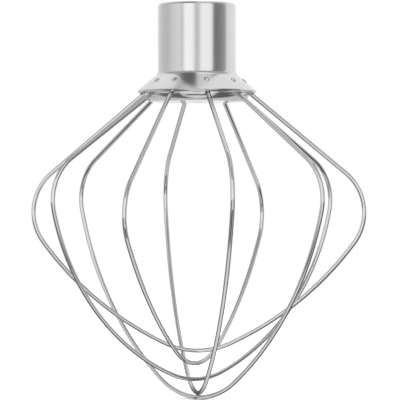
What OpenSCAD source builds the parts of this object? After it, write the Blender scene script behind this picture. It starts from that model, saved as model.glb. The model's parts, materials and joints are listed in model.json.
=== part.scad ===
// Wire whip for a planetary stand mixer.
// Millimetres, +Z up through the hub. The origin is the centre of the hub's top face, where the
// mixer's shaft goes in, so the whole cage hangs below z = 0.

/* [Cage] */
// Depth from the hub's top to the lowest point of the deepest loop
whip_h = 165; // [150:0.5:185]
// Distance across the cage where it is widest
cage_d = 142; // [125:0.5:160]
// Diameter of the loop wire
wire_d = 1.8; // [1.4:0.05:2.2]
// Direction of the first loop about the hub, in degrees from +X
first_turn = -78.5; // [-180:0.5:180]
// Place of each loop in the stack where they cross on the axis, from 0 for the lowest
loop_rank = [1, 0, 4, 2, 3]; // [0:1:4]
// Clear gap between each loop and the next, up that stack
stack_gap = [0.1, 3.8, 4.9, 3.4]; // [0.05:0.05:6]
// Depth below the hub's top at which each loop is widest
loop_drop = [80.5, 81.5, 87, 82, 88]; // [75:0.5:95]
// How far each loop's widest point stays inside the cage
loop_inset = [0, 3.5, 0, 0, 7]; // [0:0.1:8]
// Centreline radius of the long side below each loop's widest point
loop_side_r = [127, 128, 135, 96, 150]; // [90:1:220]
// How far each loop is set from its even place, in degrees
loop_trim = [0, 1.5, -4, 5, -2.5]; // [-6:0.5:6]
// Centreline radius of the bend at the widest point
belly_r = 21; // [14:0.5:26]
// Centreline radius of the bend across the bottom
bottom_r = 33; // [24:0.5:38]

/* [Hub shell] */
// Outer diameter of the straight barrel
shell_d = 32.5; // [30:0.1:40]
// Thickness of the drawn sheet
shell_t = 1.5; // [1:0.1:2]
// Height of the straight barrel, from the top to the start of the skirt
barrel_h = 29.3; // [24:0.1:36]
// How far the skirt stands out beyond the barrel
skirt_reach = 8.75; // [7.5:0.05:12]
// Slope of the skirt below the horizontal, in degrees
skirt_slope = 39.5; // [34:0.5:45]
// Outer radius of the barrel's top edge
top_round = 1.4; // [0.6:0.1:2]
// Outer radius of the flare between the barrel and the skirt
flare_r = 3; // [1:0.1:4]

/* [Wire ends] */
// Distance from the barrel to each wire's end, across the skirt's outer face
pip_reach = 3.75; // [3:0.05:4.5]
// Inside radius of the hook where the wire turns up into its hole
hook_in_r = 0.3; // [0.2:0.05:0.35]
// How far the flattened wire end overhangs its hole, all round
head_lip = 0.25; // [0.15:0.05:0.5]
// Height of the flattened wire end above the skirt
head_h = 0.4; // [0.2:0.05:0.8]
// Distance beyond the skirt's edge at which the wire leaves the skirt's slope
exit_reach = 1; // [0.5:0.1:3]
// Gap between the wire and what it passes through, on each side
wire_gap = 0.05; // [0.03:0.01:0.15]

/* [Drive core] */
// Diameter of the bore for the mixer's half-inch shaft
bore_d = 12.9; // [12.7:0.05:13.2]
// Depth of the bore
bore_depth = 32; // [26:0.5:34]
// Width of the core's wall around the pin slot, in the boss at the shell's top
boss_wall = 1.6; // [1:0.1:2]
// Gap around the boss in the shell's top
boss_gap = 0.1; // [0.05:0.01:0.3]
// Width of the slot for the shaft's cross pin
slot_w = 5.4; // [4.8:0.1:6.5]
// Depth of the slot into the bore's wall
slot_reach = 4.8; // [4.2:0.05:5]
// Depth of the slot's lowest edge below the hub's top
slot_depth = 15; // [12:0.5:18]
// Angle through which the whip turns to lock, in degrees
lock_turn = 45; // [40:1:60]
// Height of the pocket that the pin settles in
pocket_rise = 3; // [1:0.5:4]

/* [Retainer] */
// How far the dish's wall stays inside the skirt's edge
dish_inset = 3.1; // [2.4:0.1:4]
// Thickness of the dish's sheet
dish_t = 1.2; // [0.8:0.1:1.5]
// Depth of the dish's underside below the skirt's edge
dish_drop = 4.5; // [3.8:0.1:7]
// Outer radius of the dish's corner
dish_round = 3.4; // [2:0.1:4]
// Gap between the wire seat and the walls beside it
seat_gap = 0.1; // [0.05:0.01:0.3]
// Width of the flat on top of the wire seat
seat_flat = 1; // [0.5:0.1:2]
// Diameter of the rivet's shank
rivet_d = 4; // [3:0.1:5]
// Diameter of the rivet's set head, in a pocket under the bore's floor
rivet_head_d = 7; // [6:0.1:8]
// Height of the rivet's set head
rivet_head_h = 1.2; // [0.8:0.1:1.6]
// Gap around the rivet's shank
rivet_gap = 0.05; // [0.02:0.01:0.1]
// Gap around and above the rivet's set head in its pocket
pocket_gap = 0.3; // [0.1:0.05:0.6]

/* [Hidden] */
$fn = 64;
wire_fn = 24;
past = 1; // how far a cutting shape runs past what it cuts
blend = 0.002; // how far an arc runs past the lines that it meets, so that they cross cleanly
cut_step = 0.02; // how much deeper each cut of the bayonet slot goes than the one before
joint_lip = 0.01; // how much larger than the wire the ball is that joins two stretches of it
joint_gap = 0.05; // how far short of the ball's centre each stretch ends

loops = len(loop_rank);
wire_r = wire_d / 2;
shell_r = shell_d / 2;
shell_in_r = shell_r - shell_t;
skirt_r = shell_r + skirt_reach;
pip_r = shell_r + pip_reach;
exit_r = skirt_r + exit_reach;
slope_x = cos(skirt_slope);
slope_z = sin(skirt_slope);
outward = [slope_x, -slope_z]; // down the skirt
inward = [-slope_z, -slope_x]; // through the skirt's sheet
wire_depth = shell_t + wire_gap + wire_r; // of the wire's centreline, below the skirt's outer face
hook_r = wire_r + hook_in_r;
bore_r = bore_d / 2;
slot_r = bore_r + slot_reach;
boss_r = slot_r + boss_wall;

// A point at distance r from the axis, on the line that lies d inside the skirt's outer face
function skirt_line(r, d) =
    [r, -barrel_h - (r - shell_r) * slope_z / slope_x - d / slope_x];
function face_point(r) = skirt_line(r, 0);
function angle_of(v) = atan2(v[1], v[0]);
function on_circle(c, r, a) = c + r * [cos(a), sin(a)];

dish_r = skirt_r - dish_inset;
dish_z = face_point(skirt_r)[1] - dish_drop;
floor_z = dish_z + dish_t;
pocket_z = -bore_depth - rivet_head_h - pocket_gap; // of the rivet pocket's floor
seat_in_r = shell_in_r + seat_gap;
seat_out_r = dish_r - dish_t - seat_gap;

function sum_of(v, n) = n == 0 ? 0 : v[n - 1] + sum_of(v, n - 1);
// Height of a loop's bottom above the lowest loop's bottom
function loop_lift(i) = loop_rank[i] * wire_d + sum_of(stack_gap, loop_rank[i]);
function loop_turn(i) = first_turn + i * 180 / loops + loop_trim[i];
function belly_centre(i) = [cage_d / 2 - wire_r - loop_inset[i] - belly_r, -loop_drop[i]];
function bottom_centre(i) = [0, bottom_r + wire_r + loop_lift(i) - whip_h];
// The centre of the side's arc, which runs smoothly into the belly's bend and the bottom's
function side_centre(i) =
    let (a = loop_side_r[i] - belly_r)
    let (b = loop_side_r[i] - bottom_r)
    let (v = bottom_centre(i) - belly_centre(i))
    let (along = (a * a - b * b + v * v) / (2 * norm(v)))
    belly_centre(i) + (along * v + sqrt(a * a - along * along) * [v[1], -v[0]]) / norm(v);
exit_point = skirt_line(exit_r, wire_depth);
// Direction of the leg that runs from the exit point to the belly's bend
function leg_angle(i) =
    let (v = belly_centre(i) - exit_point)
    angle_of(v) + asin(belly_r / norm(v));

// A straight rod between two points of a loop's plane
module rod(a, b, r = wire_r) {
    translate([a[0], a[1], 0])
        rotate([0, 0, angle_of(b - a)])
            rotate([0, 90, 0])
                cylinder(h = norm(b - a), r = r, $fn = wire_fn);
}

// A straight stretch of wire, short of the joints at both of its ends
module run(a, b) {
    step = joint_gap * (b - a) / norm(b - a);
    rod(a + step, b - step);
}

// The ball that joins two stretches of wire at point a
module joint(a) {
    translate([a[0], a[1], 0])
        sphere(r = wire_r + joint_lip, $fn = 2 * wire_fn);
}

// A bend of the wire about the point c, of centreline radius r, from the angle a0 up to a1
module bend(c, r, a0, a1) {
    step = joint_gap / r * 180 / PI;
    translate([c[0], c[1], 0])
        rotate([0, 0, a0 + step])
            rotate_extrude(angle = a1 - a0 - 2 * step, $fn = 180)
                translate([r, 0])
                    circle(r = wire_r, $fn = wire_fn);
}

// The hooked end of a wire, with its flattened head, as far as the exit point
module wire_end() {
    start = face_point(pip_r);
    centre = start + inward * (wire_depth - hook_r) + outward * hook_r;
    top = centre - outward * hook_r;
    bottom = centre + inward * hook_r;
    translate([start[0], start[1], 0])
        rotate([0, 0, angle_of(-inward)])
            rotate([0, 90, 0])
                cylinder(h = head_h, r1 = wire_r + head_lip, r2 = wire_r, $fn = wire_fn);
    rod(start - inward * head_h / 2, top - inward * joint_gap);
    joint(top);
    bend(centre, hook_r, angle_of(-outward), angle_of(-outward) + 90);
    joint(bottom);
    run(bottom, exit_point);
    joint(exit_point);
}

module half_loop(i) {
    leg = leg_angle(i);
    belly = belly_centre(i);
    side = side_centre(i);
    bottom = bottom_centre(i);
    belly_start = on_circle(belly, belly_r, leg + 90);
    belly_end = angle_of(belly - side);
    side_end = angle_of(bottom - side);
    wire_end();
    run(exit_point, belly_start);
    joint(belly_start);
    bend(belly, belly_r, belly_end, leg + 90);
    joint(on_circle(belly, belly_r, belly_end));
    bend(side, loop_side_r[i], side_end, belly_end);
    joint(on_circle(bottom, bottom_r, side_end));
}

module wire_loop(i) {
    side_end = angle_of(bottom_centre(i) - side_centre(i));
    color("lightsteelblue")
        rotate([0, 0, loop_turn(i)])
            rotate([90, 0, 0])
                union() {
                    half_loop(i);
                    mirror([1, 0, 0])
                        half_loop(i);
                    bend(bottom_centre(i), bottom_r, -180 - side_end, side_end);
                }
}

// Places a copy of its children at both ends of every loop
module at_wire_ends() {
    for (i = [0 : loops - 1])
        for (half = [0, 180])
            rotate([0, 0, loop_turn(i) + half])
                rotate([90, 0, 0])
                    children();
}

// The hole that a wire's end comes up through
module wire_hole() {
    start = face_point(pip_r);
    rod(start - inward * past, start + inward * (shell_t + past), wire_r + wire_gap);
}

// The open groove that a wire lies in under the skirt
module wire_groove() {
    r = wire_r + wire_gap;
    start = skirt_line(pip_r, 0) + inward * wire_depth - outward * (r + wire_gap);
    length = skirt_reach + past;
    rod(start, start + outward * length, r);
    translate([start[0], start[1], -r])
        rotate([0, 0, -skirt_slope])
            cube([length, wire_depth, 2 * r]);
}

// The waste outside an arc of radius r that rounds the lower corner of an outline at distance x
module round_waste(x, z, r) {
    difference() {
        translate([x - r, z - past])
            square([r + past, r + past]);
        translate([x - r, z + r])
            circle(r = r + blend);
    }
}

// A filled outline from the axis to radius r, from z0 up to z1, with a round lower corner
module rounded_block(r, z0, z1, round_r) {
    difference() {
        translate([0, z0])
            square([r, z1 - z0]);
        round_waste(r, z0, round_r);
    }
}

// The filled outline inside the barrel's and the skirt's lines, d inside their outer faces
module skirt_outline(d, low) {
    corner = skirt_line(shell_r - d, d);
    edge = skirt_line(skirt_r + past, d);
    r = flare_r + d;
    reach = r * tan((90 - skirt_slope) / 2);
    upper = corner + [0, reach];
    lower = corner + outward * reach;
    difference() {
        polygon([[0, -d], [corner[0], -d], upper, lower, edge, [edge[0], low], [0, low]]);
        translate(upper + [r, 0])
            circle(r = r + blend, $fn = 128);
    }
}

module shell_outline() {
    edge = face_point(skirt_r);
    far = edge[0] + 2 * past;
    low = edge[1] - 3 * past;
    difference() {
        skirt_outline(0, low);
        skirt_outline(shell_t, low - past);
        mirror([0, 1])
            round_waste(shell_r, 0, top_round);
        translate([0, -shell_t - past])
            square([boss_r + boss_gap, shell_t + 2 * past]);
        polygon([edge, edge + inward * (shell_t + past), [far, low - past], [far, edge[1]]]);
    }
}

module hub_shell() {
    color("silver")
        difference() {
            rotate_extrude()
                shell_outline();
            at_wire_ends()
                wire_hole();
        }
}

// The bayonet slot: down from the top, round by the locking angle and up into a pocket. Each cut
// goes a little deeper than the one before.
module pin_slot() {
    low = -slot_depth;
    far = 2 * slot_r;
    intersection() {
        translate([0, 0, low - past])
            cylinder(h = slot_depth + 2 * past, r = slot_r);
        union() {
            translate([0, -slot_w / 2, low + 2 * cut_step])
                cube([far, slot_w, slot_depth + past]);
            translate([0, 0, low + cut_step])
                linear_extrude(slot_w - cut_step)
                    polygon([[0, 0], [far, 0], far * [cos(lock_turn), -sin(lock_turn)]]);
            rotate([0, 0, -lock_turn])
                translate([0, -slot_w / 2, low])
                    cube([far, slot_w, slot_w + pocket_rise]);
        }
    }
}

module drive_core() {
    color("lightgray")
        difference() {
            union() {
                translate([0, 0, floor_z])
                    cylinder(h = -shell_t - floor_z, r = shell_in_r);
                translate([0, 0, -shell_t - past])
                    cylinder(h = shell_t + past, r = boss_r);
            }
            translate([0, 0, -bore_depth])
                cylinder(h = bore_depth + past, r = bore_r);
            translate([0, 0, pocket_z])
                cylinder(h = past - pocket_z, r = rivet_head_d / 2 + pocket_gap);
            pin_slot();
            translate([0, 0, floor_z - past])
                cylinder(h = -floor_z, r = rivet_d / 2 + rivet_gap);
        }
}

module wire_seat() {
    top = skirt_line(seat_in_r + seat_flat, shell_t);
    color("gainsboro")
        difference() {
            rotate_extrude()
                difference() {
                    polygon([[seat_in_r, floor_z], [seat_out_r, floor_z],
                             skirt_line(seat_out_r, shell_t), top, [seat_in_r, top[1]]]);
                    round_waste(seat_out_r, floor_z, dish_round - dish_t);
                }
            at_wire_ends()
                wire_groove();
        }
}

module wire_retainer() {
    top = face_point(shell_r)[1];
    color("silver")
        difference() {
            rotate_extrude()
                difference() {
                    rounded_block(dish_r, dish_z, top, dish_round);
                    rounded_block(dish_r - dish_t, floor_z, top + past, dish_round - dish_t);
                    polygon([skirt_line(shell_in_r, shell_t), skirt_line(skirt_r, shell_t),
                             [skirt_r, top + past], [shell_in_r, top + past]]);
                }
            at_wire_ends()
                wire_groove();
            rivet(rivet_gap);
        }
}

// The rivet's shank and countersunk head, grown by gap on the shank for its hole
module rivet(gap = 0) {
    r = rivet_d / 2 + gap;
    translate([0, 0, dish_z])
        cylinder(h = dish_t, r1 = r + dish_t, r2 = r);
    translate([0, 0, floor_z])
        cylinder(h = pocket_z - floor_z, r = r);
}

module retainer_rivet() {
    color("darkgray") {
        rivet();
        translate([0, 0, pocket_z])
            cylinder(h = rivet_head_h, r = rivet_head_d / 2);
    }
}

hub_shell();
drive_core();
wire_seat();
wire_retainer();
retainer_rivet();
wire_loop(0);  // wire_loop_1
wire_loop(1);  // wire_loop_2
wire_loop(2);  // wire_loop_3
wire_loop(3);  // wire_loop_4
wire_loop(4);  // wire_loop_5
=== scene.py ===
# %% [markdown]
# # A wire whip for a stand mixer
# A whip is a drawn steel hub with a cage of bent wire under it. The engineering model has already settled
# every size, so this lesson only builds the surfaces and finishes that a camera sees. We start by loading
# that model: each of its nodes is a Blender object whose place is in its mesh, and the box around them all
# is measured, since the floor and the softbox are placed by it.

# %% Load the frame
import json
import math

import bmesh
import bpy
from mathutils import Matrix, Vector


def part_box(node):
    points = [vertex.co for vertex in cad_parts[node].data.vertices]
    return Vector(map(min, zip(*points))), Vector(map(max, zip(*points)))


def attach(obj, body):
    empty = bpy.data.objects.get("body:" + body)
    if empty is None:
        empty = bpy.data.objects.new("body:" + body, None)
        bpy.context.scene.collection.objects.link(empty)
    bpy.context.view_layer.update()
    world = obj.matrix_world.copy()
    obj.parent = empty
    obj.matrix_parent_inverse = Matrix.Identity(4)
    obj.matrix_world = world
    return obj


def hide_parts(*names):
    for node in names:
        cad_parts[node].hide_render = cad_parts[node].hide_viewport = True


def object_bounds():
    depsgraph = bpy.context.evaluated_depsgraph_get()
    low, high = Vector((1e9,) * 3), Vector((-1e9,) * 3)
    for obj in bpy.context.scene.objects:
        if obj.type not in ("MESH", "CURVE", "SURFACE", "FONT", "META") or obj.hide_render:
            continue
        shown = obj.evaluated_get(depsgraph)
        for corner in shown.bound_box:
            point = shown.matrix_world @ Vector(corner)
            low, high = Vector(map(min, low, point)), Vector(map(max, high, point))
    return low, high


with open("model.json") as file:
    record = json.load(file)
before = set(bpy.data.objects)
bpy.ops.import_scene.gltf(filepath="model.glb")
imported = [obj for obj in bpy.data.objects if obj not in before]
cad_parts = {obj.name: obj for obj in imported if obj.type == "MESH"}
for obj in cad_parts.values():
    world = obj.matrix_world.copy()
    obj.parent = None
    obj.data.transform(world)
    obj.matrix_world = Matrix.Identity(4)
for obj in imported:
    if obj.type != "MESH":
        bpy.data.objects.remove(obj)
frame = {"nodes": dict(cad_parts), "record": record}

CAD_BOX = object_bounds()
MM = 0.001
print("nodes:", len(frame["nodes"]), "box in mm:", [round(x / MM, 1) for x in CAD_BOX[1] - CAD_BOX[0]])

# %% [markdown]
# ## Sizes
# A maker's drawing of the hub needs few numbers. Those that the frame knows are read from it: the
# bore from its mount, the skirt's and the dish's radius from their boxes. The others are written
# here once, in millimetres, with the same meaning as in the engineering model. The skirt is a cone,
# so a helper gives any point that lies a set depth inside its outer face. Everything that is
# fastened to the skirt is placed with it.

# %% Sizes of the hub
BORE = frame["record"]["mounts"][0]["dims"]
BORE_R = BORE["r_mm"]
BORE_DEPTH = BORE["length_mm"]
SKIRT_R = round(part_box("hub_shell")[1].x / MM, 1)
DISH_R = round(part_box("wire_retainer")[1].x / MM, 1)
DISH_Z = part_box("wire_retainer")[0].z / MM
CORE_R = round(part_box("drive_core")[1].x / MM, 2)
SHELL_T = 1.5
SHELL_R = CORE_R + SHELL_T
BARREL_H = 29.3
SKIRT_SLOPE = math.radians(39.5)
BOSS_R = 12.85
BOSS_GAP = 0.1
WIRE_R = 0.9
INWARD = Vector((-math.sin(SKIRT_SLOPE), -math.cos(SKIRT_SLOPE)))


def skirt_point(r, depth=0.0):
    """A point of the hub's half section, at radius r, that lies depth inside the skirt's face."""
    drop = (r - SHELL_R) * math.tan(SKIRT_SLOPE) + depth / math.cos(SKIRT_SLOPE)
    return Vector((r, -BARREL_H - drop))


print("skirt edge at radius", SKIRT_R, "and height", round(skirt_point(SKIRT_R).y, 2))

# %% [markdown]
# ## Rounded corners
# Pressed and turned metal has no perfectly sharp edge, and an edge only looks real when a thin line
# of light runs along it. So every outline is drawn as a few corners, each with its own radius, and
# one helper puts the arcs in. The arc gets as many points as it needs to stay within two microns
# of a true circle, which keeps small edges light and large bends smooth. The wire's path uses the
# same helper, because a bend is a rounded corner too.

# %% Helpers for outlines
CHORD_ERROR = 0.002


def arc_steps(radius, turn):
    """How many straight steps an arc needs, so that none of them misses it by CHORD_ERROR."""
    return max(2, math.ceil(abs(turn) / (2 * math.acos(1 - CHORD_ERROR / radius))))


def arc(centre, radius, start, end):
    """Points along an arc from the angle start to the angle end, in radians, both ends included."""
    steps = arc_steps(radius, end - start)
    angles = [start + (end - start) * k / steps for k in range(steps + 1)]
    return [centre + radius * Vector((math.cos(a), math.sin(a))) for a in angles]


def rounded(before, corner, after, radius):
    """The points that replace a corner of an outline when it is rounded to this radius."""
    if radius == 0:
        return [corner]
    back = (before - corner).normalized()
    ahead = (after - corner).normalized()
    half = back.angle(ahead) / 2
    centre = corner + (back + ahead).normalized() * radius / math.sin(half)
    spoke = corner + back * radius / math.tan(half) - centre
    start = math.atan2(spoke.y, spoke.x)
    side = 1 if back.x * ahead.y - back.y * ahead.x < 0 else -1
    return arc(centre, radius, start, start + side * (math.pi - 2 * half))


def outline(corners):
    """A closed outline from corners, each a point and a radius."""
    points = []
    for k, (corner, radius) in enumerate(corners):
        before = corners[k - 1][0]
        after = corners[(k + 1) % len(corners)][0]
        points += rounded(before, corner, after, radius)
    return points


print("steps in a quarter turn of 1 mm and 20 mm:", arc_steps(1, math.pi / 2), arc_steps(20, math.pi / 2))

# %% [markdown]
# ## Turning a section into a solid
# A hub shell is spun or drawn, so it is exactly a half section turned about the axis. Blender's
# Screw modifier could do that, but a few lines of bmesh also close the poles on the axis and keep
# all faces pointing outwards. A point of the outline that lies on the axis makes one vertex, not a
# ring of them.

# %% Helpers for turned solids
TURN_SEGMENTS = 256
ON_AXIS = 1e-6


def add_piece(name, mesh):
    """A new object at the origin, which holds this mesh."""
    piece = bpy.data.objects.new(name, mesh)
    bpy.context.scene.collection.objects.link(piece)
    return piece


def turned_mesh(name, points, segments=TURN_SEGMENTS):
    """A closed solid: the outline, in millimetres, turned about the Z axis."""
    shape = bmesh.new()
    rings = []
    for point in points:
        if point.x < ON_AXIS:
            rings.append([shape.verts.new((0, 0, point.y * MM))] * segments)
            continue
        angles = [2 * math.pi * k / segments for k in range(segments)]
        rings.append([shape.verts.new((point.x * MM * math.cos(a), point.x * MM * math.sin(a),
                                       point.y * MM)) for a in angles])
    for k, ring in enumerate(rings):
        following = rings[(k + 1) % len(rings)]
        for s in range(segments):
            t = (s + 1) % segments
            around = dict.fromkeys([ring[s], ring[t], following[t], following[s]])
            if len(around) > 2:
                shape.faces.new(around)
    bmesh.ops.recalc_face_normals(shape, faces=shape.faces)
    mesh = bpy.data.meshes.new(name)
    shape.to_mesh(mesh)
    shape.free()
    return mesh


print("steps round a turned solid:", TURN_SEGMENTS)

# %% [markdown]
# ## Drilling and smoothing
# Holes and grooves are cut with the Boolean modifier, as a drill would cut them. Its exact solver
# leaves a clean, closed edge. The result is kept as a plain mesh and the drills are thrown away. A
# Weighted Normal modifier then lets the big faces keep their own direction while the small edge
# arcs take up the shading, so flat metal stays flat in reflections.

# %% Helpers for drilling and smoothing
DRILL_SIDES = 48
SHARP_ANGLE = math.radians(40)


def rod_mesh(name, start, end, radius):
    """A plain round rod between two points, in millimetres, used as a drill."""
    shape = bmesh.new()
    along = end - start
    bmesh.ops.create_cone(shape, cap_ends=True, segments=DRILL_SIDES, radius1=radius * MM,
                          radius2=radius * MM, depth=along.length * MM)
    turn = along.to_track_quat("Z", "Y").to_matrix().to_4x4()
    shape.transform(Matrix.Translation((start + end) * MM / 2) @ turn)
    mesh = bpy.data.meshes.new(name)
    shape.to_mesh(mesh)
    shape.free()
    return mesh


def cut_away(piece, cutter_meshes):
    """Cuts each mesh out of the piece, and keeps the result as the piece's plain mesh."""
    cutters = [add_piece("cutter", mesh) for mesh in cutter_meshes]
    for cutter in cutters:
        cut = piece.modifiers.new("cut", "BOOLEAN")
        cut.operation = "DIFFERENCE"
        cut.solver = "EXACT"
        cut.object = cutter
    seen = piece.evaluated_get(bpy.context.evaluated_depsgraph_get())
    piece.data = bpy.data.meshes.new_from_object(seen)
    piece.modifiers.clear()
    for cutter in cutters:
        bpy.data.objects.remove(cutter)


def finish_metal(piece):
    """Smooth shading that keeps flat faces flat and breaks only at real edges."""
    piece.data.shade_smooth()
    piece.data.set_sharp_from_angle(angle=SHARP_ANGLE)
    weighted = piece.modifiers.new("weighted", "WEIGHTED_NORMAL")
    weighted.keep_sharp = True


print("sides of a drill:", DRILL_SIDES, "and sharp from, degrees:", round(math.degrees(SHARP_ANGLE)))

# %% [markdown]
# ## Where the wires go
# Five loops pass through the hub, so ten wire ends are spread round the skirt. Each loop is flat:
# it lies in one plane through the axis, and its path is a chain of straight legs and arcs. From the
# flattened end it drops through the sheet, hooks outwards, runs down inside the skirt, leaves it,
# and reaches its widest point in a tight bend. A long, nearly straight side then brings it to the
# bottom bend, which it shares with its other half. The loops pass over each other on the axis, so
# each one has its own depth. The turn of a loop is the angle of its plane from +X.

# %% Sizes of the loops
LOOPS = [
    {"turn": -78.5, "belly_z": -80.5, "inset": 0, "side_r": 127},
    {"turn": -41.0, "belly_z": -81.5, "inset": 3.5, "side_r": 128},
    {"turn": -10.5, "belly_z": -87, "inset": 0, "side_r": 135},
    {"turn": 34.5, "belly_z": -82, "inset": 0, "side_r": 96},
    {"turn": 63.0, "belly_z": -88, "inset": 7, "side_r": 150},
]
CAGE_R = 71
BELLY_R = 21
BOTTOM_R = 33
PIP_R = 20
WIRE_GAP = 0.05
HOOK_R = 1.2
EXIT_R = 26
EXIT_BEND = 12
WIRE_DEPTH = SHELL_T + WIRE_GAP + WIRE_R


def side_centre(belly, bottom, side_r):
    """The centre of the long side's arc, which runs smoothly into the belly and the bottom."""
    to_belly = side_r - BELLY_R
    to_bottom = side_r - BOTTOM_R
    v = bottom - belly
    along = (to_belly ** 2 - to_bottom ** 2 + v.length_squared) / (2 * v.length)
    across = math.sqrt(to_belly ** 2 - along ** 2)
    return belly + (along * v + across * Vector((v.y, -v.x))) / v.length


def half_path(loop, bottom_z):
    """One half of a loop in its own plane, from the wire's end to the lowest point."""
    belly = Vector((CAGE_R - WIRE_R - loop["inset"] - BELLY_R, loop["belly_z"]))
    bottom = Vector((0, bottom_z + WIRE_R + BOTTOM_R))
    side = side_centre(belly, bottom, loop["side_r"])
    end = skirt_point(PIP_R)
    hook = end + INWARD * WIRE_DEPTH
    leave = skirt_point(EXIT_R, WIRE_DEPTH)
    v = belly - leave
    leg = math.atan2(v.y, v.x) + math.asin(BELLY_R / v.length)
    belly_start = belly + BELLY_R * Vector((math.cos(leg + math.pi / 2), math.sin(leg + math.pi / 2)))
    to_side = math.atan2(belly.y - side.y, belly.x - side.x)
    to_bottom = math.atan2(bottom.y - side.y, bottom.x - side.x)
    return (
        [end]
        + rounded(end, hook, leave, HOOK_R)
        + rounded(hook, leave, belly_start, EXIT_BEND)
        + arc(belly, BELLY_R, leg + math.pi / 2, to_side)
        + arc(side, loop["side_r"], to_side, to_bottom)[1:]
        + arc(bottom, BOTTOM_R, to_bottom, -math.pi / 2)[1:]
    )


print("depth of the wire's middle inside the skirt, mm:", WIRE_DEPTH)

# %% [markdown]
# ## From half a path to a whole loop
# A loop's two halves are alike, so the second one is the first one mirrored. The flat path is then
# turned about the axis. The loops cross on the axis one above the other, and each loop's lowest
# point is read from its node, so the order of the stack can't differ from the engineering model's.

# %% Lay out the whole loops


def loop_path(k):
    """The whole centreline of loop k, as points in space, in millimetres."""
    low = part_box(f"wire_loop_{k + 1}")[0].z / MM
    half = half_path(LOOPS[k], low)
    flat = half + [Vector((-p.x, p.y)) for p in reversed(half[:-1])]
    turn = math.radians(LOOPS[k]["turn"])
    return [Vector((p.x * math.cos(turn), p.x * math.sin(turn), p.y)) for p in flat]


def wire_lengths():
    """The length of each loop's wire, in millimetres."""
    paths = [loop_path(k) for k in range(len(LOOPS))]
    return [sum((b - a).length for a, b in zip(path, path[1:])) for path in paths]


print("wire in each loop, mm:", [round(length) for length in wire_lengths()])

# %% [markdown]
# ## Directions at the wire ends
# Holes, grooves and flattened heads all sit at the ten wire ends. One helper turns a point of the
# hub's half section into a point in space at a given end, so that they can't drift apart.

# %% The ten wire ends
END_TURNS = [math.radians(loop["turn"] + half) for loop in LOOPS for half in (0, 180)]


def in_space(point, turn):
    """A point of the half section, placed at this turn about the axis."""
    return Vector((point.x * math.cos(turn), point.x * math.sin(turn), point.y))


print("wire ends:", len(END_TURNS))

# %% [markdown]
# ## The hub shell
# The outer shell is one drawn piece of stainless sheet: a straight barrel with a flat top, and a
# conical skirt that holds the wires. It is a section of eight corners turned about the axis. Ten
# holes go through the skirt, one for each wire end, drilled square to the cone as on the real hub.

# %% Build the hub shell
TOP_ROUND = 1.4
FLARE_R = 3
RIM_ROUND = 0.4
CUT_ROUND = 0.15
REACH = 1


def build_hub_shell():
    """The drawn shell, with its ten drilled holes."""
    inner_r = SHELL_R - SHELL_T
    rim = skirt_point(SKIRT_R)
    points = outline([
        (Vector((BOSS_R + BOSS_GAP, 0)), CUT_ROUND),
        (Vector((SHELL_R, 0)), TOP_ROUND),
        (skirt_point(SHELL_R), FLARE_R),
        (rim, RIM_ROUND),
        (rim + INWARD * SHELL_T, RIM_ROUND),
        (skirt_point(inner_r, SHELL_T), FLARE_R + SHELL_T),
        (Vector((inner_r, -SHELL_T)), CUT_ROUND),
        (Vector((BOSS_R + BOSS_GAP, -SHELL_T)), CUT_ROUND),
    ])
    piece = add_piece("hub_shell_drawn", turned_mesh("hub_shell_drawn", points))
    top = skirt_point(PIP_R) - INWARD * REACH
    low = skirt_point(PIP_R) + INWARD * (SHELL_T + REACH)
    cut_away(piece, [rod_mesh("drill", in_space(top, turn), in_space(low, turn), WIRE_R + WIRE_GAP)
                     for turn in END_TURNS])
    finish_metal(piece)
    return piece


hub_shell = build_hub_shell()
print("hub shell faces:", len(hub_shell.data.polygons))

# %% [markdown]
# ## The slot for the shaft's pin
# The mixer's shaft has a cross pin, and the bore's wall has a bayonet slot for it. The pin drops
# down the open slot, turns, and rises into a pocket of its own. The slot is cut with three flat
# shapes that overlap, each stood up to its own height. Each starts a hair lower than the one
# before, so that no two floors lie in the same plane.

# %% Helpers for the slot
SLOT_W = 5.4
SLOT_R = 11.25
SLOT_DEPTH = 15
LOCK_TURN = math.radians(45)
POCKET_RISE = 3
CUT_STEP = 0.02


def slot_arc(start, end):
    """Points on the slot's round outer end."""
    return arc(Vector((0, 0)), SLOT_R, start, end)


def prism_mesh(name, flat, low, high):
    """A flat shape, in millimetres, stood up between two heights."""
    shape = bmesh.new()
    floor_ring = [shape.verts.new((p.x * MM, p.y * MM, low * MM)) for p in flat]
    roof_ring = [shape.verts.new((p.x * MM, p.y * MM, high * MM)) for p in flat]
    shape.faces.new(reversed(floor_ring))
    shape.faces.new(roof_ring)
    for k in range(len(flat)):
        j = (k + 1) % len(flat)
        shape.faces.new([floor_ring[k], floor_ring[j], roof_ring[j], roof_ring[k]])
    mesh = bpy.data.meshes.new(name)
    shape.to_mesh(mesh)
    shape.free()
    return mesh


def pin_lane(turn):
    """The pin's lane from the axis out, at this turn."""
    half = math.asin(SLOT_W / 2 / SLOT_R)
    across = Vector((-math.sin(turn), math.cos(turn))) * SLOT_W / 2
    return [-across] + slot_arc(turn - half, turn + half) + [across]


def slot_meshes():
    """The slot's three cuts: the way in, the sweep to the side, and the pocket."""
    sweep = [Vector((0, 0))] + slot_arc(-LOCK_TURN, 0)
    return [
        prism_mesh("entry", pin_lane(0), 2 * CUT_STEP - SLOT_DEPTH, REACH),
        prism_mesh("sweep", sweep, CUT_STEP - SLOT_DEPTH, SLOT_W - SLOT_DEPTH),
        prism_mesh("pocket", pin_lane(-LOCK_TURN), -SLOT_DEPTH, SLOT_W + POCKET_RISE - SLOT_DEPTH),
    ]


print("the slot's reach past the bore, mm:", round(SLOT_R - BORE_R, 2))

# %% [markdown]
# ## The drive core
# The core is the solid lump that the mixer's shaft goes into, turned from bar. Its boss fills the
# hole in the shell's top, and its bore has a small lead-in chamfer. Under the bore a shallow pocket
# keeps the rivet's set head out of the shaft's way.

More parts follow.
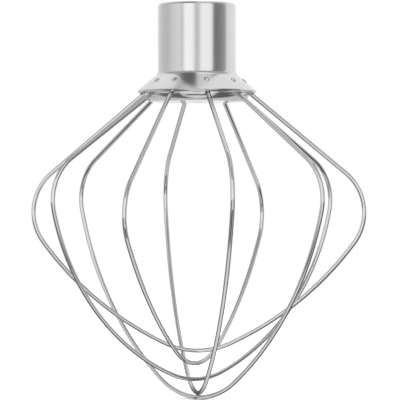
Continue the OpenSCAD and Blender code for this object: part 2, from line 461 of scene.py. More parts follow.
# %% Build the drive core
LEAD_IN = 0.5
SHANK_HOLE_R = 2.05
RIVET_HEAD_R = 3.5
RIVET_HEAD_H = 1.2
POCKET_GAP = 0.3
POCKET_Z = -BORE_DEPTH - RIVET_HEAD_H - POCKET_GAP
DISH_T = 1.2
FLOOR_Z = DISH_Z + DISH_T


def build_drive_core():
    """The turned core, with its bore and its slot."""
    points = outline([
        (Vector((SHANK_HOLE_R, FLOOR_Z)), 0),
        (Vector((CORE_R, FLOOR_Z)), LEAD_IN),
        (Vector((CORE_R, -SHELL_T)), CUT_ROUND),
        (Vector((BOSS_R, -SHELL_T)), 0),
        (Vector((BOSS_R, 0)), CUT_ROUND),
        (Vector((BORE_R + LEAD_IN, 0)), 0),
        (Vector((BORE_R, -LEAD_IN)), 0),
        (Vector((BORE_R, -BORE_DEPTH)), 0),
        (Vector((RIVET_HEAD_R + POCKET_GAP, -BORE_DEPTH)), 0),
        (Vector((RIVET_HEAD_R + POCKET_GAP, POCKET_Z)), 0),
        (Vector((SHANK_HOLE_R, POCKET_Z)), 0),
    ])
    piece = add_piece("drive_core_turned", turned_mesh("drive_core_turned", points))
    cut_away(piece, slot_meshes())
    finish_metal(piece)
    return piece


drive_core = build_drive_core()
print("drive core faces:", len(drive_core.data.polygons))

# %% [markdown]
# ## The dish
# Under the skirt a pressed dish closes the hub and clamps the wires. Its wall stands inside the
# skirt's edge, and the broad corner below it is what catches the light from the front. The wires
# leave through ten open notches in the wall.

# %% Build the dish
DISH_ROUND = 3.4
RIVET_EDGE = 0.08


def groove_meshes():
    """The space that each wire lies in, from its hole out past the dish's wall."""
    radius = WIRE_R + WIRE_GAP
    start = skirt_point(DISH_R - 3 * DISH_T, WIRE_DEPTH)
    end = skirt_point(DISH_R + 2 * DISH_T, WIRE_DEPTH)
    meshes = []
    for turn in END_TURNS:
        meshes.append(rod_mesh("groove", in_space(start, turn), in_space(end, turn), radius))
        lifted = [in_space(p - INWARD * radius, turn) for p in (start, end)]
        meshes.append(rod_mesh("opening", lifted[0], lifted[1], radius))
    return meshes


def build_dish():
    """The pressed dish, notched for the ten wires."""
    top_z = skirt_point(DISH_R, SHELL_T).y
    inner_z = skirt_point(DISH_R - DISH_T, SHELL_T).y
    points = outline([
        (Vector((SHANK_HOLE_R, FLOOR_Z)), 0),
        (Vector((DISH_R - DISH_T, FLOOR_Z)), DISH_ROUND - DISH_T),
        (Vector((DISH_R - DISH_T, inner_z)), CUT_ROUND),
        (Vector((DISH_R, top_z)), CUT_ROUND),
        (Vector((DISH_R, DISH_Z)), DISH_ROUND),
        (Vector((SHANK_HOLE_R + DISH_T, DISH_Z)), RIVET_EDGE),
    ])
    piece = add_piece("wire_retainer_pressed", turned_mesh("wire_retainer_pressed", points))
    cut_away(piece, groove_meshes())
    finish_metal(piece)
    return piece


dish = build_dish()
print("dish faces:", len(dish.data.polygons))

# %% [markdown]
# ## The rivet
# One countersunk rivet holds the dish to the core. Its head lies flush in the dish's underside, so
# only a thin ring of shadow shows round it. Its other end is set into a round head, in the pocket
# under the bore. It is small, so it needs fewer steps round the axis than the hub's pieces.

# %% Build the rivet
RIVET_R = 2
RIVET_SEGMENTS = 96


def build_rivet():
    """The rivet as it is after setting, with a head at both ends."""
    points = outline([
        (Vector((0, DISH_Z)), 0),
        (Vector((RIVET_R + DISH_T, DISH_Z)), RIVET_EDGE),
        (Vector((RIVET_R, FLOOR_Z)), 0),
        (Vector((RIVET_R, POCKET_Z)), 0),
        (Vector((RIVET_HEAD_R, POCKET_Z)), 0),
        (Vector((RIVET_HEAD_R, POCKET_Z + RIVET_HEAD_H)), RIVET_HEAD_H / 2),
        (Vector((0, POCKET_Z + RIVET_HEAD_H)), 0),
    ])
    piece = add_piece("retainer_rivet_set", turned_mesh("retainer_rivet_set", points, RIVET_SEGMENTS))
    finish_metal(piece)
    return piece


rivet = build_rivet()
print("rivet faces:", len(rivet.data.polygons))

# %% [markdown]
# ## Building with nodes
# Geometry Nodes and shader nodes are built in the same way: make a node, set it, and link it to the
# ones before. Two helpers keep that short. The first starts a tree whose sizes are named inputs.

# %% Helpers for node trees


def new_tree(name, sockets):
    """A Geometry Nodes tree with one geometry in, one out, and these further inputs."""
    tree = bpy.data.node_groups.new(name, "GeometryNodeTree")
    tree.interface.new_socket("Path", in_out="INPUT", socket_type="NodeSocketGeometry")
    for label, kind in sockets:
        tree.interface.new_socket(label, in_out="INPUT", socket_type=kind)
    tree.interface.new_socket("Wire", in_out="OUTPUT", socket_type="NodeSocketGeometry")
    return tree


def add_node(tree, kind, **settings):
    """A node of this kind, with its settings made."""
    node = tree.nodes.new(kind)
    for key, value in settings.items():
        setattr(node, key, value)
    return node


print("node groups before the first tree:", len(bpy.data.node_groups))

# %% [markdown]
# ## The wire loops as swept paths
# Five loops of one wire, each with two upset ends, are the same recipe with different paths, which
# is what Geometry Nodes are for. The tree takes a chain of edges, makes it a curve and sweeps a
# circle along it. It also stores two attributes: how far along the wire a point is, and where it
# lies round it. The finish reads them later, because the fine lines that a drawing die leaves
# follow the wire through every bend.

# %% The swept part of the tree
WIRE_SIDES = 24


def keep_value(tree, geometry, name, kind, value):
    """Stores a value on the geometry under a name, for the finish to read."""
    keep = add_node(tree, "GeometryNodeStoreNamedAttribute", data_type=kind)
    keep.inputs["Name"].default_value = name
    tree.links.new(geometry, keep.inputs["Geometry"])
    tree.links.new(value, keep.inputs["Value"])
    return keep.outputs["Geometry"]


def add_curve(tree, path):
    """The path as a curve that knows how far along it each point is."""
    curve = add_node(tree, "GeometryNodeMeshToCurve")
    tree.links.new(path, curve.inputs["Mesh"])
    along = add_node(tree, "GeometryNodeSplineParameter").outputs["Length"]
    return keep_value(tree, curve.outputs["Curve"], "wire_along", "FLOAT", along)


def add_sweep(tree, curve, radius):
    """The wire itself: a circle swept along the curve, with closed ends."""
    ring = add_node(tree, "GeometryNodeCurvePrimitiveCircle", mode="RADIUS")
    ring.inputs["Resolution"].default_value = WIRE_SIDES
    tree.links.new(radius, ring.inputs["Radius"])
    place = add_node(tree, "GeometryNodeInputPosition").outputs["Position"]
    profile = keep_value(tree, ring.outputs["Curve"], "wire_round", "FLOAT_VECTOR", place)
    sweep = add_node(tree, "GeometryNodeCurveToMesh")
    sweep.inputs["Fill Caps"].default_value = True
    tree.links.new(curve, sweep.inputs["Curve"])
    tree.links.new(profile, sweep.inputs["Profile Curve"])
    return sweep.outputs["Mesh"]


print("sides of a wire:", WIRE_SIDES)

# %% [markdown]
# ## Heads on the wire's ends
# Each end is upset into a small flattened head that can't slip back through its hole. The tree puts
# a ball on both ends of the curve, turns it to the wire's direction and scales it by the head's
# size, which is smallest along the wire. The tree then ends in Realize Instances and Set Material,
# because the export drops instances.

# %% The whole tree
BALL_R = 1


def add_heads(tree, curve, size):
    """A flattened ball on both ends of the curve."""
    head = add_node(tree, "GeometryNodeMeshUVSphere")
    head.inputs["Segments"].default_value = WIRE_SIDES
    head.inputs["Rings"].default_value = WIRE_SIDES // 2
    head.inputs["Radius"].default_value = BALL_R
    ends = add_node(tree, "GeometryNodeCurveEndpointSelection")
    tangent = add_node(tree, "GeometryNodeInputTangent")
    upright = add_node(tree, "FunctionNodeAlignRotationToVector", axis="Z")
    tree.links.new(tangent.outputs["Tangent"], upright.inputs["Vector"])
    heads = add_node(tree, "GeometryNodeInstanceOnPoints")
    tree.links.new(curve, heads.inputs["Points"])
    tree.links.new(ends.outputs["Selection"], heads.inputs["Selection"])
    tree.links.new(head.outputs["Mesh"], heads.inputs["Instance"])
    tree.links.new(upright.outputs["Rotation"], heads.inputs["Rotation"])
    tree.links.new(size, heads.inputs["Scale"])
    return heads.outputs["Instances"]


def wire_tree():
    """The tree that turns a chain of edges into a wire with two heads."""
    tree = new_tree("swept_wire", [
        ("Wire Radius", "NodeSocketFloat"),
        ("Head Size", "NodeSocketVector"),
        ("Finish", "NodeSocketMaterial"),
    ])
    link = tree.links.new
    given = add_node(tree, "NodeGroupInput")
    made = add_node(tree, "NodeGroupOutput")
    curve = add_curve(tree, given.outputs["Path"])
    join = add_node(tree, "GeometryNodeJoinGeometry")
    link(add_sweep(tree, curve, given.outputs["Wire Radius"]), join.inputs["Geometry"])
    link(add_heads(tree, curve, given.outputs["Head Size"]), join.inputs["Geometry"])
    real = add_node(tree, "GeometryNodeRealizeInstances")
    smooth = add_node(tree, "GeometryNodeSetShadeSmooth")
    paint = add_node(tree, "GeometryNodeSetMaterial")
    link(join.outputs["Geometry"], real.inputs["Geometry"])
    link(real.outputs["Geometry"], smooth.inputs["Geometry"])
    link(smooth.outputs["Geometry"], paint.inputs["Geometry"])
    link(given.outputs["Finish"], paint.inputs["Material"])
    link(paint.outputs["Geometry"], made.inputs["Wire"])
    return tree


WIRE_TREE = wire_tree()
print("nodes in the wire's tree:", len(WIRE_TREE.nodes))

# %% [markdown]
# ## Shader groups for worked metal
# Steel gets its look from what was done to it last. Three effects are node groups with inputs of
# their own: fine lines from turning, fine lines from drawing, and soft patches where the polish
# varies. The groups only put out values. Each material feeds them to its own Principled shader, so
# one group serves a satin barrel and a bright dish alike.

# %% Helpers for shader nodes


def new_group(name, inputs, outputs):
    """A shader node group with these sockets, and its two end nodes."""
    group = bpy.data.node_groups.new(name, "ShaderNodeTree")
    for label, kind, value in inputs:
        socket = group.interface.new_socket(label, in_out="INPUT", socket_type=kind)
        if value is not None:
            socket.default_value = value
    for label, kind in outputs:
        group.interface.new_socket(label, in_out="OUTPUT", socket_type=kind)
    return group, add_node(group, "NodeGroupInput"), add_node(group, "NodeGroupOutput")


def math_node(tree, operation, first, second):
    """A Math node; each input is a socket or a number."""
    node = add_node(tree, "ShaderNodeMath", operation=operation)
    for socket, value in zip(node.inputs, (first, second)):
        if isinstance(value, bpy.types.NodeSocket):
            tree.links.new(value, socket)
        else:
            socket.default_value = value
    return node.outputs["Value"]


def to_range(tree, value, low, high):
    """The value, from 0 to 1, spread between low and high, which are sockets or numbers."""
    node = add_node(tree, "ShaderNodeMapRange")
    tree.links.new(value, node.inputs["Value"])
    for key, limit in (("To Min", low), ("To Max", high)):
        if isinstance(limit, bpy.types.NodeSocket):
            tree.links.new(limit, node.inputs[key])
        else:
            node.inputs[key].default_value = limit
    return node.outputs["Result"]


print("node groups so far:", [tree.name for tree in bpy.data.node_groups])

# %% [markdown]
# ## Lines left by turning
# A cutting tool or a polishing belt leaves fine rings round the axis. A noise texture gives such
# rings when it changes thousands of times in a metre along the radius and the height, and only a
# few dozen times round the axis. That slow drift lets each ring fade as it goes round.

# %% The group for turned lines
TURNED_DETAIL = 3.0


def turned_lines_group():
    """Fine rings round the Z axis, as a cutting tool or a polishing belt leaves them."""
    group, given, made = new_group(
        "turned_lines",
        [("Vector", "NodeSocketVector", None), ("Lines per Metre", "NodeSocketFloat", 4000.0),
         ("Drift", "NodeSocketFloat", 60.0)],
        [("Line", "NodeSocketFloat")],
    )
    link = group.links.new
    split = add_node(group, "ShaderNodeSeparateXYZ")
    link(given.outputs["Vector"], split.inputs["Vector"])
    x, y, z = split.outputs
    x_square = math_node(group, "MULTIPLY", x, x)
    y_square = math_node(group, "MULTIPLY", y, y)
    radius = math_node(group, "SQRT", math_node(group, "ADD", x_square, y_square), 0.0)
    lines = given.outputs["Lines per Metre"]
    drift = given.outputs["Drift"]
    place = add_node(group, "ShaderNodeCombineXYZ")
    link(math_node(group, "MULTIPLY", radius, lines), place.inputs["X"])
    link(math_node(group, "MULTIPLY", z, lines), place.inputs["Y"])
    link(math_node(group, "MULTIPLY", x, drift), place.inputs["Z"])
    noise = add_node(group, "ShaderNodeTexNoise", noise_dimensions="4D")
    noise.inputs["Scale"].default_value = 1.0
    noise.inputs["Detail"].default_value = TURNED_DETAIL
    link(place.outputs["Vector"], noise.inputs["Vector"])
    link(math_node(group, "MULTIPLY", y, drift), noise.inputs["W"])
    link(noise.outputs["Fac"], made.inputs["Line"])
    return group


TURNED_LINES = turned_lines_group()
print("nodes in the group for turned lines:", len(TURNED_LINES.nodes))

# %% [markdown]
# ## Lines along a drawn wire
# A wire is pulled through a die, so its lines run along it. The noise is fine across the wire and
# long along it, and it reads the two attributes that the sweep stored, not the wire's place in
# space. That is why the lines follow every bend.

# %% The group for drawn lines
DRAWN_DETAIL = 2.0


def drawn_lines_group():
    """Fine lines along a wire, read from the attributes that its sweep stored."""
    group, given, made = new_group(
        "drawn_lines",
        [("Along", "NodeSocketFloat", None), ("Round", "NodeSocketVector", None),
         ("Fineness", "NodeSocketFloat", 5000.0), ("Stretch", "NodeSocketFloat", 90.0)],
        [("Line", "NodeSocketFloat")],
    )
    link = group.links.new
    spread = add_node(group, "ShaderNodeVectorMath", operation="SCALE")
    link(given.outputs["Round"], spread.inputs["Vector"])
    link(given.outputs["Fineness"], spread.inputs["Scale"])
    noise = add_node(group, "ShaderNodeTexNoise", noise_dimensions="4D")
    noise.inputs["Scale"].default_value = 1.0
    noise.inputs["Detail"].default_value = DRAWN_DETAIL
    link(spread.outputs["Vector"], noise.inputs["Vector"])
    link(math_node(group, "MULTIPLY", given.outputs["Along"], given.outputs["Stretch"]), noise.inputs["W"])
    link(noise.outputs["Fac"], made.inputs["Line"])
    return group


DRAWN_LINES = drawn_lines_group()
print("nodes in the group for drawn lines:", len(DRAWN_LINES.nodes))

# %% [markdown]
# ## Patches in the polish
# No worked surface is the same all over. Broad soft patches show where hands and washing have
# changed the polish, and much finer specks give a moulded skin its grain. Both are plain noise in
# object coordinates, and the size of a patch is one input in metres.

# %% The group for patches
PATCH_NOISES = [("Patch", 1.0, 3.0), ("Speck", 25.0, 1.0)]


def polish_patches_group():
    """Soft patches in the polish, and finer specks."""
    group, given, made = new_group(
        "polish_patches",
        [("Vector", "NodeSocketVector", None), ("Size", "NodeSocketFloat", 0.02)],
        [("Patch", "NodeSocketFloat"), ("Speck", "NodeSocketFloat")],
    )
    link = group.links.new
    for label, share, detail in PATCH_NOISES:
        noise = add_node(group, "ShaderNodeTexNoise")
        noise.inputs["Detail"].default_value = detail
        link(given.outputs["Vector"], noise.inputs["Vector"])
        link(math_node(group, "DIVIDE", share, given.outputs["Size"]), noise.inputs["Scale"])
        link(noise.outputs["Fac"], made.inputs[label])
    return group


POLISH_PATCHES = polish_patches_group()
print("nodes in the group for patches:", len(POLISH_PATCHES.nodes))

# %% [markdown]
# ## The finishes
# Every finish starts from the same skeleton: a Principled shader whose base colour, roughness and
# normal come from the groups, and whose fixed values, such as metallic, are set on the shader
# itself. These helpers make that skeleton and fill its inputs one at a time.

# %% Helpers for a finish


def use_group(tree, group, **values):
    """A group placed in a material, with its own numbers."""
    node = add_node(tree, "ShaderNodeGroup", node_tree=group)
    for label, value in values.items():
        node.inputs[label.replace("_", " ")].default_value = value
    return node


def start_finish(name, metallic):
    """A material with a Principled shader and object coordinates."""
    material = bpy.data.materials.new(name)
    material.use_nodes = True
    tree = material.node_tree
    shader = tree.nodes["Principled BSDF"]
    shader.inputs["Metallic"].default_value = metallic
    where = add_node(tree, "ShaderNodeTexCoord").outputs["Object"]
    return material, tree, shader, where


def average(tree, first, second):
    """The mean of two values."""
    return math_node(tree, "MULTIPLY", math_node(tree, "ADD", first, second), 0.5)


def tone(tree, shader, value, dark, light):
    """Base colour that moves between two tones with a value."""
    mix = add_node(tree, "ShaderNodeMix", data_type="RGBA")
    tree.links.new(value, mix.inputs["Factor"])
    mix.inputs["A"].default_value = (*dark, 1)
    mix.inputs["B"].default_value = (*light, 1)
    tree.links.new(mix.outputs["Result"], shader.inputs["Base Color"])


def relief(tree, shader, height, strength, depth):
    """A bump of this depth, in metres."""
    bump = add_node(tree, "ShaderNodeBump")
    bump.inputs["Strength"].default_value = strength
    bump.inputs["Distance"].default_value = depth
    tree.links.new(height, bump.inputs["Height"])
    tree.links.new(bump.outputs["Normal"], shader.inputs["Normal"])


print("groups that a finish can use:", len(bpy.data.node_groups) - 1)

# %% [markdown]
# ## Turned and polished metal
# The barrel is satin with rings round it, so its reflections smear up and down. The dish is polished
# further. The core is turned aluminium, duller and slightly darker, and the rivet is plain steel.
# All four are one recipe with different numbers: two tones, a roughness that the patches move up and
# down, an extra roughness in the lines, and the lines' own depth in metres.

# %% Make the turned finishes
TURNED_PATCH = 0.018
PATCH_SWING = 0.03
TURNED_BUMP = 0.35


def turned_finish(name, dark, light, rough, line_rough, lines, depth, anisotropy):
    """A metal worked round the axis: rings, patches in the polish, and smeared reflections."""
    material, tree, shader, where = start_finish(name, 1.0)
    link = tree.links.new
    rings = use_group(tree, TURNED_LINES, Lines_per_Metre=lines)
    patches = use_group(tree, POLISH_PATCHES, Size=TURNED_PATCH)
    link(where, rings.inputs["Vector"])
    link(where, patches.inputs["Vector"])
    line = rings.outputs["Line"]
    patch = patches.outputs["Patch"]
    worked = math_node(tree, "ADD", to_range(tree, line, 0.0, line_rough),
                       to_range(tree, patch, rough - PATCH_SWING, rough + PATCH_SWING))
    link(worked, shader.inputs["Roughness"])
    tone(tree, shader, average(tree, line, patch), dark, light)
    relief(tree, shader, line, TURNED_BUMP, depth)
    shader.inputs["Anisotropic"].default_value = anisotropy
    tangent = add_node(tree, "ShaderNodeTangent", direction_type="RADIAL", axis="Z")
    link(tangent.outputs["Tangent"], shader.inputs["Tangent"])
    return material


SATIN_STEEL = turned_finish(
    "satin_steel", dark=(0.60, 0.60, 0.605), light=(0.72, 0.72, 0.725),
    rough=0.14, line_rough=0.07, lines=3500.0, depth=4e-6, anisotropy=0.55)
POLISHED_STEEL = turned_finish(
    "polished_steel", dark=(0.62, 0.62, 0.625), light=(0.74, 0.74, 0.745),
    rough=0.12, line_rough=0.05, lines=2500.0, depth=2e-6, anisotropy=0.3)
TURNED_ALUMINIUM = turned_finish(
    "turned_aluminium", dark=(0.56, 0.565, 0.57), light=(0.70, 0.70, 0.705),
    rough=0.28, line_rough=0.14, lines=2200.0, depth=1e-5, anisotropy=0.4)
RIVET_STEEL = turned_finish(
    "rivet_steel", dark=(0.52, 0.52, 0.525), light=(0.64, 0.64, 0.645),
    rough=0.22, line_rough=0.10, lines=3000.0, depth=4e-6, anisotropy=0.2)
TURNED_FINISHES = [SATIN_STEEL, POLISHED_STEEL, TURNED_ALUMINIUM, RIVET_STEEL]
print("turned finishes:", [material.name for material in TURNED_FINISHES])

# %% [markdown]
# ## Drawn wire
# The wires are drawn and then polished, so they are the smoothest metal here. A real wire has a dark
# outline, because its rim mirrors its neighbours and whatever stands beside it. The panels here are too
# plain for that, so a Specular Tint below white paints that dark outline on as shade instead, by taking
# some of the shine off the rim. The thin wires then read as round.

# %% Make the wire's finish
WIRE_DARK = (0.60, 0.60, 0.605)
WIRE_LIGHT = (0.74, 0.74, 0.745)
# Grey edge tint that paints shade onto the wire's rim.
WIRE_RIM_SHADE_TINT = (0.2, 0.2, 0.2, 1)
WIRE_LINE_ROUGH = 0.04
WIRE_PATCH_ROUGH = (0.04, 0.09)
WIRE_PATCH = 0.012
WIRE_BUMP = 0.3
WIRE_LINE_DEPTH = 2e-6


def wire_finish():
    """Bright drawn wire, with faint lines along it and a rim darkened by its tint as painted shade."""
    material, tree, shader, where = start_finish("drawn_wire_steel", 1.0)
    link = tree.links.new
    along = add_node(tree, "ShaderNodeAttribute", attribute_name="wire_along")
    round_it = add_node(tree, "ShaderNodeAttribute", attribute_name="wire_round")
    lines = use_group(tree, DRAWN_LINES)
    link(along.outputs["Fac"], lines.inputs["Along"])
    link(round_it.outputs["Vector"], lines.inputs["Round"])
    patches = use_group(tree, POLISH_PATCHES, Size=WIRE_PATCH)
    link(where, patches.inputs["Vector"])
    line = lines.outputs["Line"]
    patch = patches.outputs["Patch"]
    worked = math_node(tree, "ADD", to_range(tree, line, 0.0, WIRE_LINE_ROUGH),
                       to_range(tree, patch, *WIRE_PATCH_ROUGH))
    link(worked, shader.inputs["Roughness"])
    tone(tree, shader, average(tree, line, patch), WIRE_DARK, WIRE_LIGHT)
    # Painted shade: a grey edge tint darkens the wire's rim in place of the dark neighbours that it would
    # mirror.
    shader.inputs["Specular Tint"].default_value = WIRE_RIM_SHADE_TINT
    relief(tree, shader, line, WIRE_BUMP, WIRE_LINE_DEPTH)
    return material


WIRE_STEEL = wire_finish()
print("nodes in the wire's finish:", len(WIRE_STEEL.node_tree.nodes))

# %% [markdown]
# ## Moulded nylon
# The seat behind the wires is moulded nylon, which is no metal at all. It is slightly mottled, and
# its skin has a fine eggshell grain, which comes from the specks.

# %% Make the seat's finish
NYLON_DARK = (0.60, 0.60, 0.57)
NYLON_LIGHT = (0.70, 0.70, 0.67)
NYLON_ROUGH = (0.42, 0.58)
NYLON_PATCH = 0.008
NYLON_BUMP = 0.4
NYLON_GRAIN_DEPTH = 2e-5


def nylon_finish():
    """Moulded nylon: slightly mottled, with a fine eggshell skin."""
    material, tree, shader, where = start_finish("seat_nylon", 0.0)
    patches = use_group(tree, POLISH_PATCHES, Size=NYLON_PATCH)
    tree.links.new(where, patches.inputs["Vector"])
    patch = patches.outputs["Patch"]
    tree.links.new(to_range(tree, patch, *NYLON_ROUGH), shader.inputs["Roughness"])
    tone(tree, shader, patch, NYLON_DARK, NYLON_LIGHT)
    relief(tree, shader, patches.outputs["Speck"], NYLON_BUMP, NYLON_GRAIN_DEPTH)
    return material


SEAT_NYLON = nylon_finish()
print("nodes in the seat's finish:", len(SEAT_NYLON.node_tree.nodes))

# %% [markdown]
# ## Making the five loops
# Each path becomes a chain of edges, and the tree turns it into a wire. The result is taken out as
# a plain mesh and the modifier removed, so that what is left is an ordinary closed piece.

# %% Make the wire loops
HEAD_SIZE = (1.2, 1.2, 0.42)


def path_mesh(name, points):
    """A chain of edges through the points."""
    mesh = bpy.data.meshes.new(name)
    mesh.from_pydata([p * MM for p in points], [(k, k + 1) for k in range(len(points) - 1)], [])
    return mesh


def set_inputs(piece, modifier, values):
    """Sets a modifier's inputs by their names in the tree, through the sockets' identifiers."""
    for item in modifier.node_group.interface.items_tree:
        if item.item_type == "SOCKET" and item.in_out == "INPUT" and item.name in values:
            modifier[item.identifier] = values[item.name]
    piece.update_tag()


def build_loop(k):
    """Loop k as a plain closed mesh."""
    piece = add_piece(f"wire_loop_{k + 1}_bent", path_mesh("path", loop_path(k)))
    modifier = piece.modifiers.new("sweep", "NODES")
    modifier.node_group = WIRE_TREE
    set_inputs(piece, modifier, {
        "Wire Radius": WIRE_R * MM,
        "Head Size": [size * MM for size in HEAD_SIZE],
        "Finish": WIRE_STEEL,
    })
    seen = piece.evaluated_get(bpy.context.evaluated_depsgraph_get())
    made = bpy.data.meshes.new_from_object(seen)
    piece.modifiers.clear()
    piece.data = made
    return piece


wire_loops = [build_loop(k) for k in range(len(LOOPS))]
print("faces in each loop:", [len(piece.data.polygons) for piece in wire_loops])

# %% [markdown]
# ## Giving each piece its finish and its place in the frame
# Each new piece stands for the engineering node it was built from. The whip is rigid, so every
# piece rides on the one body. The wire seat is hidden inside the hub, and its node keeps its own
# shape and only gets a finish.

# %% Finish and hand over the pieces


def hand_over(piece, material, node):
    """Paints a piece, puts it on the root body, and hides the node that it stands for."""
    if material.name not in piece.data.materials:
        piece.data.materials.clear()
        piece.data.materials.append(material)
    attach(piece, "root")
    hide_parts(node)


hand_over(hub_shell, SATIN_STEEL, "hub_shell")
hand_over(drive_core, TURNED_ALUMINIUM, "drive_core")
hand_over(dish, POLISHED_STEEL, "wire_retainer")
hand_over(rivet, RIVET_STEEL, "retainer_rivet")
for k, piece in enumerate(wire_loops):
    hand_over(piece, WIRE_STEEL, f"wire_loop_{k + 1}")
seat = frame["nodes"]["wire_seat"]
seat.data.materials.clear()
seat.data.materials.append(SEAT_NYLON)

# %% [markdown]
# ## Light by direction
# Polished metal shows its surroundings more than itself, so lighting it means building what it
# mirrors. Here that is a ring of soft panels round the whip. A colour ramp holds them: each stop is
# the brightness of the studio in one direction. A ramp ends at 1, and some panels are brighter than
# that, so every level is divided by a gain that the light is multiplied by again.

# %% Helpers for panels
RING_GAIN = 2.0


def stepped(tree, value, stops):
    """Brightness that follows a value from 0 to 1, through stops of a value and a level each."""
    ramp = add_node(tree, "ShaderNodeValToRGB")
    elements = ramp.color_ramp.elements
    for k, (at, level) in enumerate(stops):
        element = elements[k] if k < 2 else elements.new(at)
        element.position = at
        element.color = (level, level, level, 1)
    tree.links.new(value, ramp.inputs["Fac"])
    return ramp.outputs["Color"]


def ring_of_panels(tree, direction, panels, gain):
    """Brightness by the direction round the Z axis, from stops in degrees, 0 being the camera's side."""
    split = add_node(tree, "ShaderNodeSeparateXYZ")
    tree.links.new(direction, split.inputs["Vector"])
    x, y, z = split.outputs
    turn = math_node(tree, "ARCTAN2", x, math_node(tree, "MULTIPLY", y, -1.0))
    share = math_node(tree, "ADD", math_node(tree, "DIVIDE", turn, 2 * math.pi), 0.5)
    stops = [(degrees / 360 + 0.5, level / gain) for degrees, level in panels]
    return stepped(tree, share, stops), z


print("brightest panel possible:", RING_GAIN)

# %% [markdown]
# ## Floor
# A plain pale floor lies just under the lowest wire and takes the whip's soft shadow. It is wider
# than the view, and plain white to the camera. A blank floor would make every underside look flat,
# so the floor that the metal mirrors is a ring of panels: bright in front, with a dark flag on
# either side. A dim band lies across the front, a hand's width out from the cage. It draws the
# short dark accents where the wires lean over at their widest bends. The radius is measured on the
# flattened position, because the floor lies below the origin.

# %% The floor's finish
FLOOR_TONE = (0.86, 0.86, 0.86, 1)
FLOOR_ROUGH = 0.9
FLOOR_PANELS = [
    (-180, 0.72), (-98, 0.76), (-88, 0.22), (-40, 0.12), (-34, 0.80), (0, 0.95), (38, 0.90),
    (44, 0.14), (90, 0.12), (100, 0.76), (180, 0.72),
]
BAND_REACH = [(0, 1.0), (0.125, 1.0), (0.140, 0.14), (0.21, 0.14), (0.25, 1.0), (1.0, 1.0)]
BAND_TURN = [(-180, 0.0), (-28, 0.0), (-22, 1.0), (22, 1.0), (28, 0.0), (180, 0.0)]


def distance_from_axis(tree, where):
    """How far a place is from the Z axis, in metres."""
    flat = add_node(tree, "ShaderNodeVectorMath", operation="MULTIPLY")
    flat.inputs[1].default_value = (1, 1, 0)
    tree.links.new(where, flat.inputs[0])
    reach = add_node(tree, "ShaderNodeVectorMath", operation="LENGTH")
    tree.links.new(flat.outputs["Vector"], reach.inputs[0])
    return reach.outputs["Value"]


def mirrored_floor(tree):
    """The light of the floor as the metal mirrors it: the panels, dimmed by the band."""
    where = add_node(tree, "ShaderNodeTexCoord").outputs["Object"]
    band = stepped(tree, distance_from_axis(tree, where), BAND_REACH)
    dimmed = add_node(tree, "ShaderNodeMix", data_type="RGBA", blend_type="MULTIPLY")
    tree.links.new(ring_of_panels(tree, where, BAND_TURN, 1.0)[0], dimmed.inputs["Factor"])
    tree.links.new(ring_of_panels(tree, where, FLOOR_PANELS, RING_GAIN)[0], dimmed.inputs["A"])
    tree.links.new(band, dimmed.inputs["B"])
    light = add_node(tree, "ShaderNodeEmission")
    light.inputs["Strength"].default_value = RING_GAIN
    tree.links.new(dimmed.outputs["Result"], light.inputs["Color"])
    return light.outputs["Emission"]


def floor_finish():
    """Plain pale to the camera, and a ring of panels to the rays that metal mirrors."""
    material = bpy.data.materials.new("floor_pale")
    material.use_nodes = True
    tree = material.node_tree
    shader = tree.nodes["Principled BSDF"]
    shader.inputs["Base Color"].default_value = FLOOR_TONE
    shader.inputs["Roughness"].default_value = FLOOR_ROUGH
    shader.inputs["Specular IOR Level"].default_value = 0.0
    mix = add_node(tree, "ShaderNodeMixShader")
    ray = add_node(tree, "ShaderNodeLightPath")
    tree.links.new(ray.outputs["Is Glossy Ray"], mix.inputs["Fac"])
    tree.links.new(shader.outputs["BSDF"], mix.inputs[1])
    tree.links.new(mirrored_floor(tree), mix.inputs[2])
    tree.links.new(mix.outputs["Shader"], tree.nodes["Material Output"].inputs["Surface"])
    return material


FLOOR_PALE = floor_finish()
print("nodes in the floor's finish:", len(FLOOR_PALE.node_tree.nodes))

# %% [markdown]
# ## Laying the floor
# The floor is one round face at the height of the whip's lowest point. It belongs to the studio and not to
# the whip.

# %% Lay the floor
FLOOR_R = 1.2
FLOOR_SEGMENTS = 96


def build_floor():
    """A round face under the whip."""
    shape = bmesh.new()
    bmesh.ops.create_circle(shape, cap_ends=True, segments=FLOOR_SEGMENTS, radius=FLOOR_R)
    mesh = bpy.data.meshes.new("floor")
    shape.to_mesh(mesh)
    shape.free()
    mesh.transform(Matrix.Translation((0, 0, CAD_BOX[0].z)))
    piece = add_piece("floor", mesh)
    mesh.materials.append(FLOOR_PALE)
    return piece


floor = build_floor()
print("floor at height", round(floor.data.vertices[0].co.z / MM, 1), "mm")

# %% [markdown]
# ## Studio light
# The world is a ring of panels too. Bright ones stand left and right of the camera, a narrow
# gap shows the camera's own side, and a dark flag on the right draws the strong band that makes a
# cylinder read as round. Two more rings stand above it: a shoulder that is only bright behind the
# whip, and a cap overhead whose left front part is a dark flag. The skirt throws the cap onto the
# barrel and back, which draws the dark patch in its middle. The camera itself sees plain white.

# %% Build the studio
PANELS = [
    (-180, 1.0), (-162, 0.98), (-120, 0.74), (-98, 0.68), (-76, 0.86), (-50, 1.0),
    (-46, 0.70), (-41, 0.70), (-38, 1.38), (-10, 1.34), (-6, 0.72), (7, 0.72), (11, 1.28),
    (46, 1.26), (50, 0.18), (70, 0.28), (94, 0.46), (98, 1.02), (160, 1.04), (180, 1.0),
]
SHOULDER_PANELS = [(-180, 1.05), (-132, 1.05), (-124, 0.52), (124, 0.52), (132, 1.05), (180, 1.05)]
CAP_PANELS = [(-180, 1.05), (-150, 1.05), (-138, 0.18), (-8, 0.18), (2, 1.20), (180, 1.05)]
SHOULDER_Z = (0.50, 0.62)
CAP_Z = (0.88, 0.93)


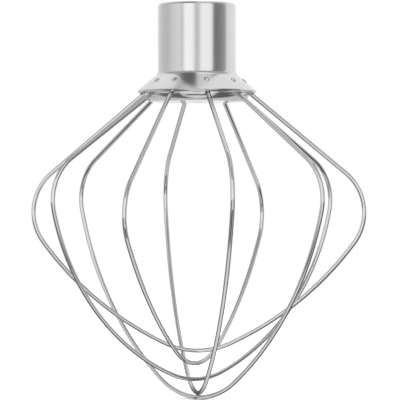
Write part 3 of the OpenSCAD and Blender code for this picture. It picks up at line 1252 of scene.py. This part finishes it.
def build_world():
    """The studio that the metal mirrors, and plain white for the camera."""
    world = bpy.data.worlds.new("studio")
    world.use_nodes = True
    bpy.context.scene.world = world
    tree = world.node_tree
    link = tree.links.new
    direction = add_node(tree, "ShaderNodeTexCoord").outputs["Generated"]
    brightness, z = ring_of_panels(tree, direction, PANELS, RING_GAIN)
    for stops, (low, high) in ((SHOULDER_PANELS, SHOULDER_Z), (CAP_PANELS, CAP_Z)):
        above = add_node(tree, "ShaderNodeMapRange", interpolation_type="SMOOTHSTEP")
        above.inputs["From Min"].default_value = low
        above.inputs["From Max"].default_value = high
        link(z, above.inputs["Value"])
        dome = add_node(tree, "ShaderNodeMix", data_type="RGBA")
        link(above.outputs["Result"], dome.inputs["Factor"])
        link(brightness, dome.inputs["A"])
        link(ring_of_panels(tree, direction, stops, RING_GAIN)[0], dome.inputs["B"])
        brightness = dome.outputs["Result"]
    panels = tree.nodes["Background"]
    panels.inputs["Strength"].default_value = RING_GAIN
    link(brightness, panels.inputs["Color"])
    plain = add_node(tree, "ShaderNodeBackground")
    plain.inputs["Color"].default_value = (1, 1, 1, 1)
    seen = add_node(tree, "ShaderNodeLightPath")
    mix = add_node(tree, "ShaderNodeMixShader")
    link(seen.outputs["Is Camera Ray"], mix.inputs["Fac"])
    link(panels.outputs["Background"], mix.inputs[1])
    link(plain.outputs["Background"], mix.inputs[2])
    link(mix.outputs["Shader"], tree.nodes["World Output"].inputs["Surface"])


build_world()
print("panels in the studio ring:", len(PANELS))

# %% [markdown]
# ## Softbox
# A large square light hangs overhead and gives the floor its soft shadow. Neither the camera nor
# the metal sees it, so it leaves no hard white square in the reflections.

# %% Hang the softbox
SOFTBOX_PLACE = Vector((0, 0, 1.6))
SOFTBOX_SIZE = 2.4
SOFTBOX_WATTS = 42
MIDDLE = (CAD_BOX[0] + CAD_BOX[1]) / 2


def add_softbox(name, place, aim, size, watts):
    """A square area light that lights the floor, and that neither the camera nor the metal sees."""
    light = bpy.data.lights.new(name, "AREA")
    light.size = size
    light.energy = watts
    lamp = bpy.data.objects.new(name, light)
    bpy.context.scene.collection.objects.link(lamp)
    lamp.location = place
    lamp.rotation_euler = (aim - place).to_track_quat("-Z", "Y").to_euler()
    lamp.visible_camera = False
    lamp.visible_glossy = False
    return lamp


softbox = add_softbox("overhead", SOFTBOX_PLACE, MIDDLE, SOFTBOX_SIZE, SOFTBOX_WATTS)
print("softbox at height, m:", round(softbox.location.z, 2))

# %% [markdown]
# ## Camera
# A long lens keeps the cage's proportions true. The camera stands level with the widest part of the
# cage, a metre away, and looks a little below its own height and a touch to the right of the axis.

# %% Place the camera
CAMERA_PLACE = Vector((0, -1042, -79)) * MM
CAMERA_AIM = Vector((1.3, 0, -81.9)) * MM
VIEW_WIDTH = 166.8 * MM


def place_camera():
    """A camera whose lens shows VIEW_WIDTH at the whip's distance."""
    lens = bpy.data.cameras.new("camera")
    lens.lens = lens.sensor_width * -CAMERA_PLACE.y / VIEW_WIDTH
    camera = bpy.data.objects.new("camera", lens)
    bpy.context.scene.collection.objects.link(camera)
    camera.location = CAMERA_PLACE
    camera.rotation_euler = (CAMERA_AIM - CAMERA_PLACE).to_track_quat("-Z", "Y").to_euler()
    bpy.context.scene.camera = camera
    return camera


camera = place_camera()
bpy.context.scene.view_settings.view_transform = "Standard"
print("lens, mm:", round(camera.data.lens, 1))
